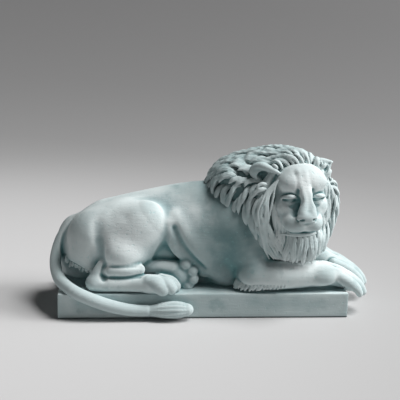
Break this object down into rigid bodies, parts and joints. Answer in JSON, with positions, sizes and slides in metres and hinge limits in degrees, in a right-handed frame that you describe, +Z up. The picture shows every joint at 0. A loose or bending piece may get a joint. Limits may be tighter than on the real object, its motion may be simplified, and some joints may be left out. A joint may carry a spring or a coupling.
{
  "type": "plaster lion figurine",
  "caption": "Plaster figurine of a lion lying on a low plinth, its maned head turned to one side, forepaws past the plinth's end, tail curled down over its front.",
  "frame": {"origin": "middle of the plinth's flat underside", "axes": "+X from the tail end to the forepaws, -Y the side that the head faces and the tail lies on, +Z up"},
  "size_m": [0.2798, 0.1076, 0.1398],
  "materials": {
    "plaster": "matte, pale blue-green, darker in its recesses"
  },
  "bodies": {
    "root": {"lion_on_plinth": "plaster"}
  },
  "joints": []
}
